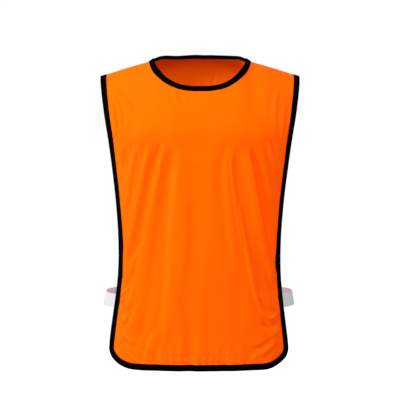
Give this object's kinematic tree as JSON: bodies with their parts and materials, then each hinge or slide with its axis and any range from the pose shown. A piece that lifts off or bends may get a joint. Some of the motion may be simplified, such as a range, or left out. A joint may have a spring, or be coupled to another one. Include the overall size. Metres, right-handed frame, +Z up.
{
  "type": "mesh training bib",
  "caption": "Sleeveless pullover training bib: mesh front and back joined at the shoulders, taped edges and two elastic side straps, in its rounded worn form.",
  "frame": {"origin": "midway between the two shoulder seams, where the line of the shoulders reaches the neck opening", "axes": "+Z up, the front of the bib towards -Y, +X to the right for someone who looks at the front"},
  "size_m": [0.415, 0.2239, 0.6458],
  "materials": {
    "mesh_fabric": "orange knitted polyester mesh",
    "binding_tape": "black knitted binding tape",
    "elastic_webbing": "light grey woven elastic"
  },
  "bodies": {
    "root": {"front_panel": "mesh_fabric", "back_panel": "mesh_fabric", "neck_binding": "binding_tape", "front_edge_binding": "binding_tape", "back_edge_binding": "binding_tape", "left_strap": "elastic_webbing", "right_strap": "elastic_webbing"}
  },
  "joints": []
}
